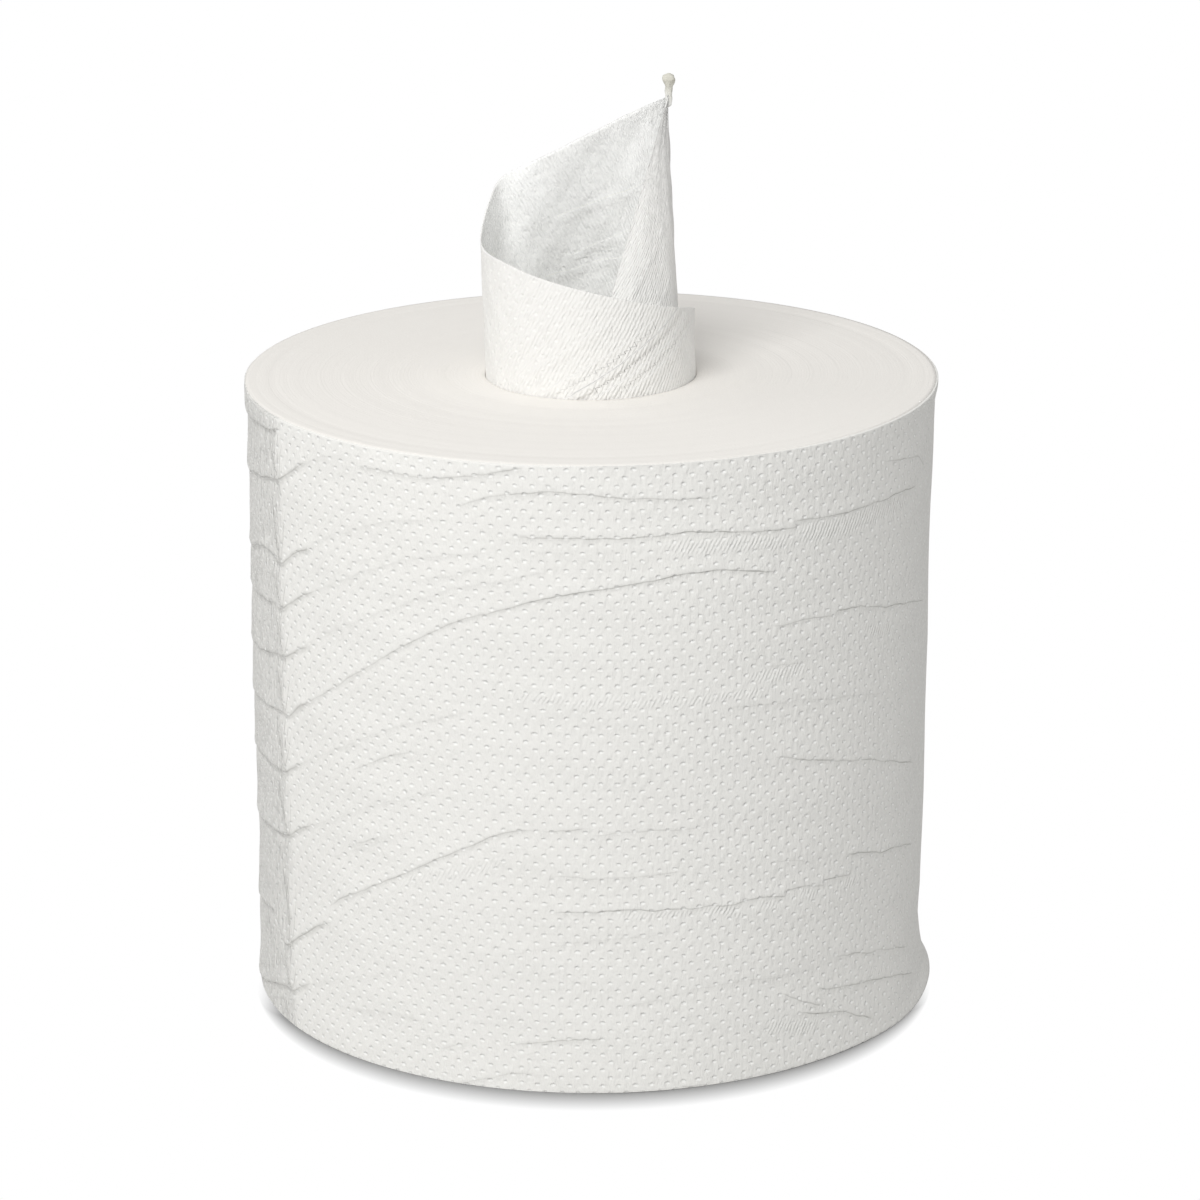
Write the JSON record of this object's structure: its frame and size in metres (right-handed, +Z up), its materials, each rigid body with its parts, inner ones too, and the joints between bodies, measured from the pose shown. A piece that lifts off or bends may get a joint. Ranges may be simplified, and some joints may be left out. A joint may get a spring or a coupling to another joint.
{
  "type": "paper towel roll",
  "caption": "Coreless centre-pull roll of white embossed paper towel, standing on end, with its innermost sheet pulled up into a twisted tip ready for use.",
  "frame": {"origin": "on the roll's axis, on the end face that it stands on", "axes": "+Z up along the roll's axis; -Y is the front, with the row of puckers left of it and the twisted tip to its right"},
  "size_m": [0.2312, 0.2301, 0.3076],
  "materials": {
    "towel_paper": "matte embossed tissue"
  },
  "bodies": {
    "root": {"towel_roll": "towel_paper"}
  },
  "joints": []
}
